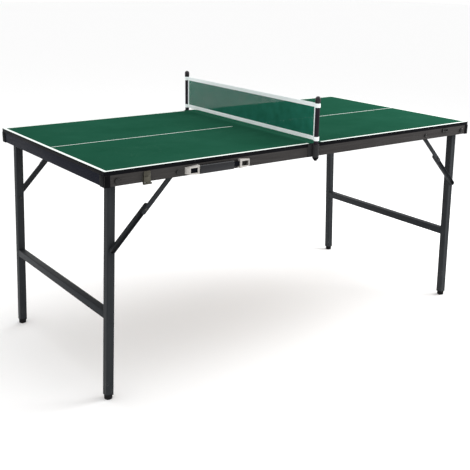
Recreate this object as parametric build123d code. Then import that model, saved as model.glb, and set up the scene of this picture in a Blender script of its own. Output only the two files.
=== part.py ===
"""Folding table-tennis table: two hinged halves, folding leg frames with locking braces, net.

Every sub-part is written to parts/ as its own STEP file. Units are millimetres. +X runs along
the table, +Y across it and +Z up. The origin is on the floor, under the middle of the table.

The model is drawn once for the left half, measured from that half's outer end, from its near
edge and down from the playing surface, and mirrored to give the far side and the right half.
"""
import os
from math import asin, cos, degrees, radians, sin, sqrt, tan

from build123d import *

# Overall sizes
table_length = 1524.0
table_width = 762.0
table_height = 712.0

# Tops and the frame under them
board_thickness = 12.0
board_corner_radius = 5.0
edge_band_thickness = 1.2
apron_height = 32.0
apron_thickness = 12.0
seam_gap = 0.4
corner_cap_thickness = 1.2
corner_cap_side_reach = 17.0
corner_cap_end_reach = 28.0

# Leg frames: square tube, hung from bolts through the side aprons
leg_tube = 25.0
leg_wall = 1.5
leg_inset_y = 43.0
leg_pivot_inset_x = 38.0
leg_top_above_pivot = 10.0
leg_splay_deg = 2.5
crossbar_from_pivot = 412.0
foot_height = 17.0
foot_diameter = 25.0
foot_flange = 3.0
foot_plug_length = 20.0

# Leg pivots
leg_bolt_diameter = 8.0
bolt_head_diameter = 16.0
bolt_head_height = 4.5
leg_spacer_diameter = 15.0
nut_across_flats = 13.0
nut_height = 6.5
bolt_tail = 1.5

# Folding braces: a flat bar above the knee and a folded channel below it, beside each leg
brace_pivot_inset_x = 234.0
brace_foot_from_pivot = 210.0
bar_to_apron_gap = 2.0
bar_thickness = 5.0
bar_width = 14.0
bar_to_channel_gap = 0.5
channel_depth = 16.0
channel_wall = 1.5
arm_past_knee = 18.0
brace_pin_diameter = 6.0
brace_shoulder_diameter = 11.0
brace_pin_head_diameter = 12.0
brace_pin_head_height = 4.0
rivet_head_diameter = 10.0
rivet_head_height = 1.6
leg_rivet_head_height = 2.0

# Hinges between the halves
hinge_from_centre = 230.0
hinge_width = 60.0
hinge_leaf_height = 28.0
hinge_leaf_thickness = 1.5
hinge_knuckle_diameter = 7.0
hinge_pin_diameter = 3.0
hinge_middle_knuckle = 20.0
hinge_pin_overhang = 1.0

# Screws
wood_screw_diameter = 3.2
wood_screw_head = 6.0
wood_screw_length = 9.5
pan_screw_diameter = 3.6
pan_screw_head = 7.0
pan_screw_head_height = 1.6

# Carrying handle
handle_centre_x = 376.0
handle_drop = 29.0
handle_slide_travel = 24.0
handle_fitting_length = 44.0
handle_fitting_slope = 9.0
handle_fitting_height = 28.0
handle_fitting_outer_height = 20.0
handle_fitting_depth = 13.0
handle_fitting_wall = 2.5
handle_window_from_mouth = 7.0
handle_window_height = 15.0
handle_cavity_length = 33.0
handle_cavity_height = 19.0
grip_length = 121.4
grip_height = 26.0
grip_thickness = 12.0
grip_stand_off = 5.0
grip_tab_height = 13.4
grip_tab_thickness = 4.5
grip_lug_length = 6.0
grip_lug_height = 17.6

# Latch: a strap hinged on the left half, and the catch it reaches on the right half
latch_inset_x = 131.0
latch_strap_width = 22.0
latch_strap_thickness = 2.0
latch_axis_below_apron = 4.0
latch_axis_stand_off = 5.5
latch_knuckle_diameter = 6.0
latch_pin_diameter = 2.5
latch_middle_knuckle = 13.0
latch_base_width = 26.0
latch_base_height = 16.0
latch_base_thickness = 1.5
latch_tongue_from_axis = 20.0
latch_tongue_width = 12.0
latch_tongue_thickness = 2.0
latch_tongue_length = 4.0
keeper_width = 30.0
keeper_height = 13.0
keeper_thickness = 4.6
keeper_slot_width = 22.0
keeper_slot_height = 6.0

# Net and its posts
post_diameter = 15.0
post_wall = 1.4
post_above_table = 131.8
near_post_from_seam = 9.0
holder_wall = 2.9
holder_top_drop = 2.0
holder_plate_thickness = 2.0
holder_plate_reach = 34.0
end_cap_height = 12.0
end_cap_tip_diameter = 8.0
end_cap_plug_height = 7.0
post_cap_overhang = 1.3
post_cap_height = 22.0
post_cap_skirt = 1.5
net_top_above_table = 129.8
net_bottom_above_table = 9.5
tape_height = 13.2
tape_thickness = 1.4
side_tape_width = 6.0
net_thickness = 1.0

# Clearances
running_fit = 0.05
side_clearance = 0.3
brace_to_leg_gap = 0.5
hole_fit = 0.05

# Levels and places worked out from the sizes above
half_length = table_length / 2
handle_fitting_inner = (grip_length + handle_slide_travel) / 2 + side_clearance
handle_fitting_reach = handle_fitting_inner + handle_fitting_length
handle_window_inner = handle_fitting_inner + handle_window_from_mouth
handle_cavity_outer = handle_fitting_inner + handle_cavity_length
post_cap_diameter = post_diameter + 2 * post_cap_overhang
half_width = table_width / 2
apron_top = board_thickness
apron_bottom = board_thickness + apron_height
pivot_drop = apron_bottom - (apron_height - leg_tube) / 4 - leg_tube / 2
leg_outer_y = leg_inset_y - leg_tube / 2
leg_inner_y = leg_inset_y + leg_tube / 2
bar_outer_y = apron_thickness + bar_to_apron_gap
bar_inner_y = bar_outer_y + bar_thickness
channel_outer_y = bar_inner_y + bar_to_channel_gap
channel_inner_y = leg_outer_y - brace_to_leg_gap
channel_web_y = channel_inner_y - channel_wall
post_y = half_width + side_clearance + post_diameter / 2 + hole_fit + holder_wall


def x_in(inset):
    """X of a place on the left half, measured from that half's outer end."""
    return inset - half_length


def y_in(inset):
    """Y of a place on the near side, measured from the near edge of the top."""
    return inset - half_width


def z_down(drop):
    """Z of a place measured down from the playing surface."""
    return table_height - drop


def block(x0, x1, y0, y1, z0, z1):
    """A box between two corners."""
    return Pos((x0 + x1) / 2, (y0 + y1) / 2, (z0 + z1) / 2) * Box(abs(x1 - x0), abs(y1 - y0), abs(z1 - z0))


def panel(inset_x0, inset_x1, inset_y0, inset_y1, drop0, drop1):
    """A box on the left half, given by insets from its end and near edge, and by drops."""
    return block(x_in(inset_x0), x_in(inset_x1), y_in(inset_y0), y_in(inset_y1), z_down(drop1), z_down(drop0))


def rod(start, direction, radius, length):
    """A round bar from a start point along a direction."""
    place = Plane(origin=start, z_dir=direction).location
    return place * Cylinder(radius, length, align=(Align.CENTER, Align.CENTER, Align.MIN))


def cone(start, direction, start_radius, end_radius, length):
    """A tapered round bar from a start point along a direction."""
    place = Plane(origin=start, z_dir=direction).location
    return place * Cone(start_radius, end_radius, length, align=(Align.CENTER, Align.CENTER, Align.MIN))


def across(inset_x, drop, radius, inset_y0, inset_y1):
    """A round bar across the near side, between two insets from the near edge."""
    return rod((x_in(inset_x), y_in(inset_y0), z_down(drop)), (0, 1, 0), radius, inset_y1 - inset_y0)


def to_far(shape):
    """The far-side twin of a near-side shape."""
    return mirror(shape, about=Plane.XZ)


def pair(shape):
    """A near-side shape and its far-side twin."""
    return [shape, to_far(shape)]


def to_right(shape):
    """The right-half twin of a left-half shape."""
    return mirror(shape, about=Plane.YZ)


def write(name, *shapes):
    """Writes the solids of one sub-part as one STEP file."""
    solids = [solid for shape in shapes for solid in shape.solids()]
    whole = solids[0] if len(solids) == 1 else Compound(children=solids)
    export_step(whole, f"parts/{name}.step")


# ---------------------------------------------------------------- brace geometry
# The leg pivot P, the brace pivot R beside it and the brace foot Q on the leg form a triangle.
# The arms lie in one line when the leg is open, and flat along the apron when it is folded.
pivot_spacing = brace_pivot_inset_x - leg_pivot_inset_x
open_angle = 90.0 + leg_splay_deg
brace_span = sqrt(
    pivot_spacing**2
    + brace_foot_from_pivot**2
    - 2 * pivot_spacing * brace_foot_from_pivot * cos(radians(open_angle))
)
upper_arm = (brace_span - (brace_foot_from_pivot - pivot_spacing)) / 2
lower_arm = brace_span - upper_arm
brace_foot_inset_x = leg_pivot_inset_x - brace_foot_from_pivot * sin(radians(leg_splay_deg))
brace_foot_drop = pivot_drop + brace_foot_from_pivot * cos(radians(leg_splay_deg))
arm_run = (brace_pivot_inset_x - brace_foot_inset_x) / brace_span
arm_rise = (brace_foot_drop - pivot_drop) / brace_span
knee_inset_x = brace_pivot_inset_x - upper_arm * arm_run
knee_drop = pivot_drop + upper_arm * arm_rise


# ---------------------------------------------------------------- tops and aprons
def top_board():
    """The playing board of the left half, inside its edge band."""
    band = edge_band_thickness
    board = panel(band, half_length - seam_gap / 2 - band, band, table_width - band, 0, board_thickness)
    corners = board.edges().filter_by(Axis.Z).group_by(Axis.X)[0]
    return fillet(corners, board_corner_radius - band)


def edge_band():
    """The plastic strip round all four edges of the left board."""
    outside = panel(0, half_length - seam_gap / 2, 0, table_width, 0, board_thickness)
    corners = outside.edges().filter_by(Axis.Z).group_by(Axis.X)[0]
    return fillet(corners, board_corner_radius) - top_board()


def pan_screw(inset_x, drop, end_inset_y):
    """A pan-head screw driven outwards through the near apron from inside the frame."""
    inside = apron_thickness
    head = across(inset_x, drop, pan_screw_head / 2, inside, inside + pan_screw_head_height)
    return head + across(inset_x, drop, pan_screw_diameter / 2, end_inset_y, inside)


def pan_screw_hole(inset_x, drop, end_inset_y):
    """The hole that a pan-head screw fills."""
    return across(inset_x, drop, pan_screw_diameter / 2 + hole_fit, end_inset_y, apron_thickness)


fitting_screw_depth = handle_fitting_depth / 2
fitting_screw_offset = (handle_cavity_outer + handle_fitting_reach - handle_fitting_slope / 2) / 2
handle_screws = [
    (handle_centre_x + side * fitting_screw_offset, handle_drop + level, -fitting_screw_depth)
    for side in (-1, 1)
    for level in (-handle_cavity_height / 3, handle_cavity_height / 3)
]
latch_base_drop = apron_bottom - latch_base_height / 2
latch_screws = [
    (latch_inset_x + side * latch_base_width / 4, latch_base_drop, -latch_base_thickness)
    for side in (-1, 1)
]
holder_screw_x = half_length - (holder_plate_reach + post_diameter / 2 + holder_wall) / 2
holder_screws = [
    (holder_screw_x, apron_top + apron_height * share, -holder_plate_thickness * 0.6)
    for share in (0.25, 0.75)
]


def side_apron(screws):
    """The near apron of the left half, drilled for the pivots and for the screws given."""
    apron = panel(0, half_length - seam_gap / 2, 0, apron_thickness, apron_top, apron_bottom)
    apron -= across(leg_pivot_inset_x, pivot_drop, leg_bolt_diameter / 2 + hole_fit, 0, apron_thickness)
    apron -= across(brace_pivot_inset_x, pivot_drop, brace_pin_diameter / 2 + hole_fit, 0, apron_thickness)
    for inset_x, drop, _ in screws:
        apron -= pan_screw_hole(inset_x, drop, 0)
    return apron


def end_apron():
    """The apron across the outer end of the left half."""
    return panel(0, apron_thickness, apron_thickness, table_width - apron_thickness, apron_top, apron_bottom)


def corner_cap():
    """The plastic cap round the near outer corner of the left half, with a lip underneath."""
    wall = corner_cap_thickness
    along = corner_cap_side_reach
    inward = corner_cap_end_reach
    cap = panel(-wall, along, -wall, inward, apron_top + side_clearance, apron_bottom + wall)
    cap = fillet(cap.edges().filter_by(Axis.Z).group_by(Axis.X)[0].group_by(Axis.Y)[0], board_corner_radius)
    cap -= panel(0, along, 0, inward, 0, apron_bottom)
    return cap - panel(apron_thickness, along, apron_thickness, inward, 0, apron_bottom + wall)


# ---------------------------------------------------------------- hinges between the halves
hinge_places = (-hinge_from_centre, hinge_from_centre)
hinge_z = z_down(apron_bottom)
leaf_outer_x = -seam_gap / 2
leaf_inner_x = leaf_outer_x - hinge_leaf_thickness
knuckle_relief = hinge_knuckle_diameter / 2 + side_clearance
hinge_screw_levels = (0.42, 0.8)


def hinge_leaf(y_centre, outer_knuckles):
    """A leaf let into the left mid rail, with either its two outer knuckles or the middle one."""
    half = hinge_width / 2
    split = hinge_middle_knuckle / 2
    low = knuckle_relief
    leaf = block(leaf_inner_x, leaf_outer_x, y_centre - half, y_centre + half, hinge_z + low,
                 hinge_z + hinge_leaf_height)
    if outer_knuckles:
        spans = [(-half, -split - side_clearance / 2), (split + side_clearance / 2, half)]
        bore = hinge_pin_diameter / 2 + hole_fit / 2
    else:
        spans = [(-split + side_clearance / 2, split - side_clearance / 2)]
        bore = hinge_pin_diameter / 2 + running_fit
    for y0, y1 in spans:
        knuckle = rod((0, y_centre + y0, hinge_z), (0, 1, 0), hinge_knuckle_diameter / 2, y1 - y0)
        web = block(leaf_inner_x, leaf_outer_x, y_centre + y0, y_centre + y1, hinge_z, hinge_z + low)
        leaf += knuckle + web
    leaf -= rod((0, y_centre - half, hinge_z), (0, 1, 0), bore, hinge_width)
    for place in hinge_screw_places(y_centre):
        leaf -= wood_screw(place, hole_fit)
    return leaf


def hinge_screw_places(y_centre):
    """Head centres of the screws that hold one leaf to its mid rail."""
    return [
        (leaf_outer_x, y_centre + side * hinge_width / 3, hinge_z + hinge_leaf_height * level)
        for side in (-1, 1)
        for level in hinge_screw_levels
    ]


def wood_screw(place, growth=0.0):
    """A countersunk screw driven towards -X from the seam face; growth makes its hole."""
    head = cone(place, (-1, 0, 0), wood_screw_head / 2 + growth, wood_screw_diameter / 2 + growth,
                hinge_leaf_thickness)
    return head + rod(place, (-1, 0, 0), wood_screw_diameter / 2 + growth, wood_screw_length)


def mid_rail():
    """The rail under the seam edge of the left half, let in for the hinges."""
    seam = half_length - seam_gap / 2
    rail = panel(seam - apron_thickness, seam, apron_thickness, table_width - apron_thickness, apron_top,
                 apron_bottom)
    for y_centre in hinge_places:
        half = hinge_width / 2 + side_clearance
        rail -= block(leaf_inner_x, 0, y_centre - half, y_centre + half, hinge_z,
                      hinge_z + hinge_leaf_height)
        pin_half = half + hinge_pin_overhang
        rail -= rod((0, y_centre - pin_half, hinge_z), (0, 1, 0), knuckle_relief, 2 * pin_half)
        for place in hinge_screw_places(y_centre):
            rail -= wood_screw(place, hole_fit)
    return rail


def hinge_pin(y_centre):
    """The pin through one hinge's knuckles."""
    length = hinge_width + 2 * hinge_pin_overhang
    return rod((0, y_centre - length / 2, hinge_z), (0, 1, 0), hinge_pin_diameter / 2, length)


# ---------------------------------------------------------------- leg frame
leg_length = (table_height - pivot_drop) / cos(radians(leg_splay_deg))
leg_end = leg_length - foot_height
leg_tilt = Rot(0, leg_splay_deg, 0)
leg_hang = Pos(x_in(leg_pivot_inset_x), y_in(leg_inset_y), z_down(pivot_drop)) * leg_tilt


def square_bar(size, top, bottom):
    """A square bar along the leg, from top to bottom below the pivot, in the leg's own frame."""
    return block(-size / 2, size / 2, -size / 2, size / 2, -bottom, -top)


def leg():
    """The near leg of the left frame: square tube, drilled for its bolt and the brace rivet."""
    tube = square_bar(leg_tube, -leg_top_above_pivot, leg_end)
    tube = fillet(tube.edges().filter_by(Axis.Z), 2 * leg_wall)
    bore = square_bar(leg_tube - 2 * leg_wall, -leg_top_above_pivot, leg_end)
    tube -= fillet(bore.edges().filter_by(Axis.Z), leg_wall)
    bolt_hole = leg_bolt_diameter / 2 + running_fit
    tube -= rod((0, -leg_tube / 2, 0), (0, 1, 0), bolt_hole, leg_tube)
    rivet_hole = brace_pin_diameter / 2 + hole_fit
    tube -= rod((0, -leg_tube / 2, -brace_foot_from_pivot), (0, 1, 0), rivet_hole, leg_tube)
    return leg_hang * tube


def leg_rivet():
    """The rivet through the near leg and the channel's web, headed at both ends."""
    web_face = channel_web_y - side_clearance / 2 - leg_inset_y
    outer_end = web_face - leg_rivet_head_height
    inner_end = leg_tube / 2 + leg_rivet_head_height
    shank = rod((0, outer_end, -brace_foot_from_pivot), (0, 1, 0), brace_pin_diameter / 2,
                inner_end - outer_end)
    for start in (outer_end, leg_tube / 2):
        shank += rod((0, start, -brace_foot_from_pivot), (0, 1, 0), rivet_head_diameter / 2,
                     leg_rivet_head_height)
    return leg_hang * shank


def crossbar():
    """The square tube welded between the two left legs."""
    length = table_width - 2 * leg_inner_y
    tube = Box(leg_tube, length, leg_tube)
    tube = fillet(tube.edges().filter_by(Axis.Y), 2 * leg_wall)
    bore = Box(leg_tube - 2 * leg_wall, length, leg_tube - 2 * leg_wall)
    tube -= fillet(bore.edges().filter_by(Axis.Y), leg_wall)
    hang = Pos(x_in(leg_pivot_inset_x), 0, z_down(pivot_drop)) * leg_tilt
    return hang * Pos(0, 0, -crossbar_from_pivot) * tube


def foot():
    """The moulded foot plugged into the near left leg, flat on the floor."""
    flange = square_bar(leg_tube, leg_end, leg_end + foot_flange)
    flange = fillet(flange.edges().filter_by(Axis.Z), 2 * leg_wall)
    plug_size = leg_tube - 2 * leg_wall - 2 * hole_fit
    plug = square_bar(plug_size, leg_end - foot_plug_length, leg_end)
    plug = fillet(plug.edges().filter_by(Axis.Z), leg_wall)
    pad_height = foot_height - foot_flange / 2
    pad_x = x_in(leg_pivot_inset_x) - (table_height - pivot_drop - foot_height / 2) * tan(radians(leg_splay_deg))
    pad = rod((pad_x, y_in(leg_inset_y), 0), (0, 0, 1), foot_diameter / 2, pad_height)
    pad = chamfer(pad.edges().group_by(Axis.Z)[0], foot_height / 10)
    return leg_hang * (flange + plug) + pad


def leg_bolt():
    """The bolt that the near left leg turns on, with its head outside the apron."""
    end = leg_inner_y + side_clearance + nut_height + bolt_tail
    head = across(leg_pivot_inset_x, pivot_drop, bolt_head_diameter / 2, -bolt_head_height, 0)
    head = fillet(head.edges().group_by(Axis.Y)[0], bolt_head_height / 3)
    return head + across(leg_pivot_inset_x, pivot_drop, leg_bolt_diameter / 2, 0, end)


def leg_spacer():
    """The spacer on the leg bolt between the apron and the leg."""
    end = leg_outer_y - side_clearance
    tube = across(leg_pivot_inset_x, pivot_drop, leg_spacer_diameter / 2, apron_thickness, end)
    return tube - across(leg_pivot_inset_x, pivot_drop, leg_bolt_diameter / 2 + hole_fit, apron_thickness, end)


def leg_nut():
    """The lock nut on the leg bolt, inside the leg."""
    start = leg_inner_y + side_clearance
    place = Plane(origin=(x_in(leg_pivot_inset_x), y_in(start), z_down(pivot_drop)), z_dir=(0, 1, 0)).location
    outline = RegularPolygon(nut_across_flats / 2, 6, major_radius=False)
    nut = place * extrude(outline, nut_height)
    return nut - across(leg_pivot_inset_x, pivot_drop, leg_bolt_diameter / 2 + hole_fit, start,
                        start + nut_height)


# ---------------------------------------------------------------- braces
# Each arm is drawn along its own line: u from the knee towards the brace pivot, and n square to
# it, towards the leg pivot. Bar and channel lie side by side, so that one passes the other.
knee_plane = Plane(
    origin=(x_in(knee_inset_x), 0, z_down(knee_drop)),
    x_dir=(arm_run, 0, arm_rise),
    z_dir=(0, -1, 0),
)


def arm_block(u0, u1, half, inset_y0, inset_y1):
    """A box along the near left brace, between two insets from the near edge."""
    return knee_plane.location * block(u0, u1, -half, half, -y_in(inset_y1), -y_in(inset_y0))


def arm_disc(u, radius, inset_y0, inset_y1):
    """A disc on the line of the near left brace."""
    return knee_plane.location * rod((u, 0, -y_in(inset_y1)), (0, 0, 1), radius, inset_y1 - inset_y0)


def round_bar(u0, u1, half, inset_y0, inset_y1):
    """A round-ended bar along the near left brace, with its end centres at u0 and u1."""
    bar = arm_block(u0, u1, half, inset_y0, inset_y1)
    return bar + arm_disc(u0, half, inset_y0, inset_y1) + arm_disc(u1, half, inset_y0, inset_y1)


def upper_brace():
    """The flat bar between the knee and the brace pivot, near side of the left half."""
    half = bar_width / 2
    bar = round_bar(half - arm_past_knee, upper_arm, half, bar_outer_y, bar_inner_y)
    bar -= arm_disc(0, brace_pin_diameter / 2 + hole_fit, bar_outer_y, bar_inner_y)
    return bar - arm_disc(upper_arm, brace_pin_diameter / 2 + running_fit, bar_outer_y, bar_inner_y)


def lower_brace():
    """The folded channel between the knee and the brace foot, its web beside the near left leg."""
    half = channel_depth / 2
    knee_end = arm_past_knee - half
    channel = round_bar(-lower_arm, knee_end, half, channel_outer_y, channel_inner_y)
    channel -= round_bar(-lower_arm, knee_end, half - channel_wall, channel_outer_y, channel_web_y)
    channel -= arm_disc(0, brace_pin_diameter / 2 + hole_fit, channel_web_y, channel_inner_y)
    return channel - arm_disc(-lower_arm, brace_pin_diameter / 2 + running_fit, channel_web_y, channel_inner_y)


def knee_rivet():
    """The headed end of the knee rivet, held by the bar."""
    head_start = bar_outer_y - rivet_head_height
    head = arm_disc(0, rivet_head_diameter / 2, head_start, bar_outer_y)
    return head + arm_disc(0, brace_pin_diameter / 2, bar_outer_y, bar_inner_y)


def knee_stud():
    """The shouldered end of the knee rivet, held by the channel's web."""
    shoulder = arm_disc(0, rivet_head_diameter / 2, channel_outer_y, channel_web_y)
    return shoulder + arm_disc(0, brace_pin_diameter / 2, channel_web_y, channel_inner_y)


def brace_pivot_pin():
    """The shouldered pin through the near apron that the upper arm turns on."""
    x = brace_pivot_inset_x
    head = across(x, pivot_drop, brace_pin_head_diameter / 2, -brace_pin_head_height, 0)
    head = fillet(head.edges().group_by(Axis.Y)[0], brace_pin_head_height / 3)
    pin = head + across(x, pivot_drop, brace_pin_diameter / 2, 0, bar_inner_y)
    shoulder_end = bar_outer_y - side_clearance
    return pin + across(x, pivot_drop, brace_shoulder_diameter / 2, apron_thickness, shoulder_end)


# ---------------------------------------------------------------- carrying handle
def handle_fitting(side):
    """The metal end fitting at one end of the handle, hollow for the grip's tab to slide in."""
    centre = x_in(handle_centre_x)
    front = y_in(-handle_fitting_depth)
    back = y_in(0)
    half = handle_fitting_height / 2
    middle = z_down(handle_drop)
    slope_x = centre + side * (handle_fitting_reach - handle_fitting_slope)
    outline = make_face(Polyline(
        (centre + side * handle_fitting_inner, back),
        (centre + side * handle_fitting_reach, back),
        (slope_x, front),
        (centre + side * handle_fitting_inner, front),
        close=True,
    ))
    body = Pos(0, 0, middle - half) * extrude(outline, handle_fitting_height, dir=(0, 0, 1))
    outer_half = handle_fitting_outer_height / 2
    face_view = Plane(origin=(0, back, 0), x_dir=(1, 0, 0), z_dir=(0, -1, 0))
    taper = face_view * make_face(Polyline(
        (centre + side * handle_fitting_inner, middle - half),
        (centre + side * handle_fitting_reach, middle - outer_half),
        (centre + side * handle_fitting_reach, middle + outer_half),
        (centre + side * handle_fitting_inner, middle + half),
        close=True,
    ))
    body &= extrude(taper, handle_fitting_depth, dir=(0, -1, 0))

    def hollow(start, end, height, y0, y1):
        tall = height / 2
        return block(centre + side * start, centre + side * end, y0, y1, middle - tall, middle + tall)

    cavity_front = front + handle_fitting_wall
    inner_wall = handle_fitting_inner + handle_fitting_wall
    body -= hollow(inner_wall, handle_cavity_outer, handle_cavity_height, back, cavity_front)
    tab_gap = 2 * side_clearance
    tab_back = y_in(-grip_stand_off)
    body -= hollow(handle_fitting_inner, inner_wall, grip_tab_height + 2 * tab_gap, tab_back + tab_gap,
                   tab_back - grip_tab_thickness - tab_gap)
    window_outer = handle_cavity_outer - handle_fitting_wall / 2
    body -= hollow(handle_window_inner, window_outer, handle_window_height, cavity_front, front)
    for inset_x, drop, end in handle_screws:
        body -= pan_screw_hole(inset_x, drop, end)
    return body


grip_shift = -(handle_fitting_inner - side_clearance - grip_length / 2)


def handle_grip():
    """The moulded grip, with a tab and a stop lug at each end, pushed to its left stop."""
    centre = x_in(handle_centre_x) + grip_shift
    middle = z_down(handle_drop)
    back = y_in(-grip_stand_off)
    front = back - grip_thickness
    half = grip_length / 2
    body = block(centre - half, centre + half, front, back, middle - grip_height / 2, middle + grip_height / 2)
    body = fillet(body.edges().filter_by(Axis.X), grip_thickness * 0.4)
    body = fillet(body.faces().filter_by(Axis.X).edges(), grip_thickness * 0.12)
    lug_outer = handle_cavity_outer - side_clearance + grip_shift
    tab_back = back
    tab_front = back - grip_tab_thickness
    for side in (-1, 1):
        tab_end = centre + side * lug_outer
        lug_start = centre + side * (lug_outer - grip_lug_length)
        inside = centre + side * (half - grip_thickness / 2)
        tall = grip_tab_height / 2
        body += block(inside, tab_end, tab_front, tab_back, middle - tall, middle + tall)
        tall = grip_lug_height / 2
        body += block(lug_start, tab_end, tab_front, tab_back, middle - tall, middle + tall)
    return body


# ---------------------------------------------------------------- latch
latch_axis_z = z_down(apron_bottom + latch_axis_below_apron)
latch_axis_y = y_in(-latch_axis_stand_off)
latch_x = x_in(latch_inset_x)


def latch_base():
    """The plate on the near left apron that carries the latch strap, and its pin."""
    half = latch_base_width / 2
    plate = block(latch_x - half, latch_x + half, y_in(-latch_base_thickness), y_in(0),
                  z_down(apron_bottom - side_clearance), z_down(apron_bottom - latch_base_height))
    split = latch_middle_knuckle / 2 + side_clearance
    radius = latch_knuckle_diameter / 2
    for side in (-1, 1):
        start = latch_x + side * split
        end = latch_x + side * half
        plate += rod((min(start, end), latch_axis_y, latch_axis_z), (1, 0, 0), radius, abs(end - start))
        plate += block(start, end, latch_axis_y, y_in(0), latch_axis_z - radius, latch_axis_z + radius - side_clearance)
        plate += block(start, end, y_in(-latch_base_thickness), y_in(0), latch_axis_z, z_down(apron_bottom - radius))
    plate -= rod((latch_x - half, latch_axis_y, latch_axis_z), (1, 0, 0), latch_pin_diameter / 2 + hole_fit / 2,
                 latch_base_width)
    for inset_x, drop, end in latch_screws:
        plate -= pan_screw_hole(inset_x, drop, end)
    pin = rod((latch_x - half, latch_axis_y, latch_axis_z), (1, 0, 0), latch_pin_diameter / 2, latch_base_width)
    return [plate, pin]


def latch_hasp():
    """The strap of the latch, folded up against the apron with its tongue outwards."""
    radius = latch_knuckle_diameter / 2
    back = latch_axis_y + latch_strap_thickness
    top = z_down(apron_top + side_clearance)
    knuckle_half = latch_middle_knuckle / 2
    strap_half = latch_strap_width / 2
    clear = latch_axis_z + radius + side_clearance * 3
    strap = block(latch_x - strap_half, latch_x + strap_half, latch_axis_y, back, clear, top)
    strap = fillet(strap.edges().filter_by(Axis.Y).group_by(Axis.Z)[-1], latch_strap_width / 6)
    strap += block(latch_x - knuckle_half, latch_x + knuckle_half, latch_axis_y, back, latch_axis_z, clear)
    strap += rod((latch_x - knuckle_half, latch_axis_y, latch_axis_z), (1, 0, 0), radius, latch_middle_knuckle)
    strap -= rod((latch_x - knuckle_half, latch_axis_y, latch_axis_z), (1, 0, 0),
                 latch_pin_diameter / 2 + running_fit, latch_middle_knuckle)
    tongue_z = latch_axis_z + latch_tongue_from_axis
    tongue_half = latch_tongue_width / 2
    return strap + block(latch_x - tongue_half, latch_x + tongue_half, latch_axis_y - latch_tongue_length,
                         latch_axis_y, tongue_z - latch_tongue_thickness / 2, tongue_z + latch_tongue_thickness / 2)


def latch_keeper():
    """The slotted catch on the near right apron that the tongue drops into when folded."""
    drop = apron_bottom - latch_axis_below_apron - latch_tongue_from_axis
    low = latch_inset_x - keeper_width / 2
    high = latch_inset_x + keeper_width / 2
    body = panel(low, high, -keeper_thickness, 0, drop - keeper_height / 2, drop + keeper_height / 2)
    body = fillet(body.edges().filter_by(Axis.Y), keeper_height / 5)
    body -= panel(latch_inset_x - keeper_slot_width / 2, latch_inset_x + keeper_slot_width / 2,
                  -keeper_thickness, 0, drop - keeper_slot_height / 2, drop + keeper_slot_height / 2)
    return to_right(body)


# ---------------------------------------------------------------- net
post_radius = post_diameter / 2
holder_bore = post_radius + hole_fit
holder_radius = holder_bore + holder_wall
holder_low = z_down(apron_bottom + side_clearance)
holder_high = z_down(holder_top_drop)
post_low = holder_low + end_cap_plug_height
net_low = table_height + net_bottom_above_table
net_high = table_height + net_top_above_table


net_turn = -degrees(asin(near_post_from_seam / (2 * post_y)))


def net_turned(shape):
    """A net piece made over the seam, turned about the far post so that its near end stands left of the seam."""
    return Pos(0, post_y, 0) * Rot(0, 0, net_turn) * Pos(0, -post_y, 0) * shape


def net_pair(shape):
    """A net piece at the near post and its twin at the far post."""
    return [net_turned(twin) for twin in pair(shape)]


def post_holders():
    """The sockets for the net posts, on plates that are screwed to the left half only."""
    plate = block(-holder_plate_reach, -holder_wall, y_in(-holder_plate_thickness), y_in(0), z_down(apron_bottom),
                  holder_high)
    for inset_x, drop, end in holder_screws:
        plate -= pan_screw_hole(inset_x, drop, end)
    tube = rod((0, -post_y, holder_low), (0, 0, 1), holder_radius, holder_high - holder_low)
    bore = rod((0, -post_y, holder_low), (0, 0, 1), holder_bore, holder_high - holder_low)
    return [base + socket - hole for base, socket, hole in zip(pair(plate), net_pair(tube), net_pair(bore))]


def holder_end_cap():
    """The tapered plug that closes the bottom of the near holder and carries the post."""
    flat = end_cap_height / 4
    plug = rod((0, -post_y, holder_low), (0, 0, 1), holder_bore - hole_fit / 2, end_cap_plug_height)
    rim = rod((0, -post_y, holder_low), (0, 0, -1), holder_radius, flat)
    taper = cone((0, -post_y, holder_low - flat), (0, 0, -1), holder_radius, end_cap_tip_diameter / 2,
                 end_cap_height - flat)
    taper = fillet(taper.edges().group_by(Axis.Z)[0], end_cap_tip_diameter / 5)
    return plug + rim + taper


def net_post():
    """The tube of the near net post, standing in its holder."""
    length = table_height + post_above_table - post_low
    tube = rod((0, -post_y, post_low), (0, 0, 1), post_radius, length)
    return tube - rod((0, -post_y, post_low), (0, 0, 1), post_radius - post_wall, length)


def net_post_cap():
    """The domed cap on the near net post, with a plug inside the tube."""
    radius = post_cap_diameter / 2
    seat = table_height + post_above_table
    skirt_low = seat - post_cap_skirt
    straight = post_cap_height - radius
    skirt = rod((0, -post_y, skirt_low), (0, 0, 1), radius, straight)
    dome = Pos(0, -post_y, skirt_low + straight) * Sphere(radius)
    dome -= block(-radius, radius, -post_y - radius, -post_y + radius, seat - post_cap_height, skirt_low + straight)
    cap = skirt + dome - rod((0, -post_y, skirt_low), (0, 0, 1), post_radius + hole_fit, post_cap_skirt)
    return cap + rod((0, -post_y, seat), (0, 0, -1), post_radius - post_wall - hole_fit, post_cap_height / 2)


def net_tape(low):
    """A tape along the net with a sleeve round each post."""
    half = tape_thickness / 2
    band = block(-half, half, -post_y, post_y, low, low + tape_height)
    for y in (-post_y, post_y):
        band += rod((0, y, low), (0, 0, 1), post_radius + hole_fit + tape_thickness, tape_height)
    for y in (-post_y, post_y):
        band -= rod((0, y, low), (0, 0, 1), post_radius + hole_fit, tape_height)
    return band


side_tape_outer = post_y - post_radius - hole_fit - tape_thickness
side_tape_inner = side_tape_outer - side_tape_width
panel_low = net_low + tape_height
panel_high = net_high - tape_height


def side_tape():
    """The tape down the near edge of the net."""
    half = tape_thickness / 2
    return block(-half, half, -side_tape_outer, -side_tape_inner, panel_low, panel_high)


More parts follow.
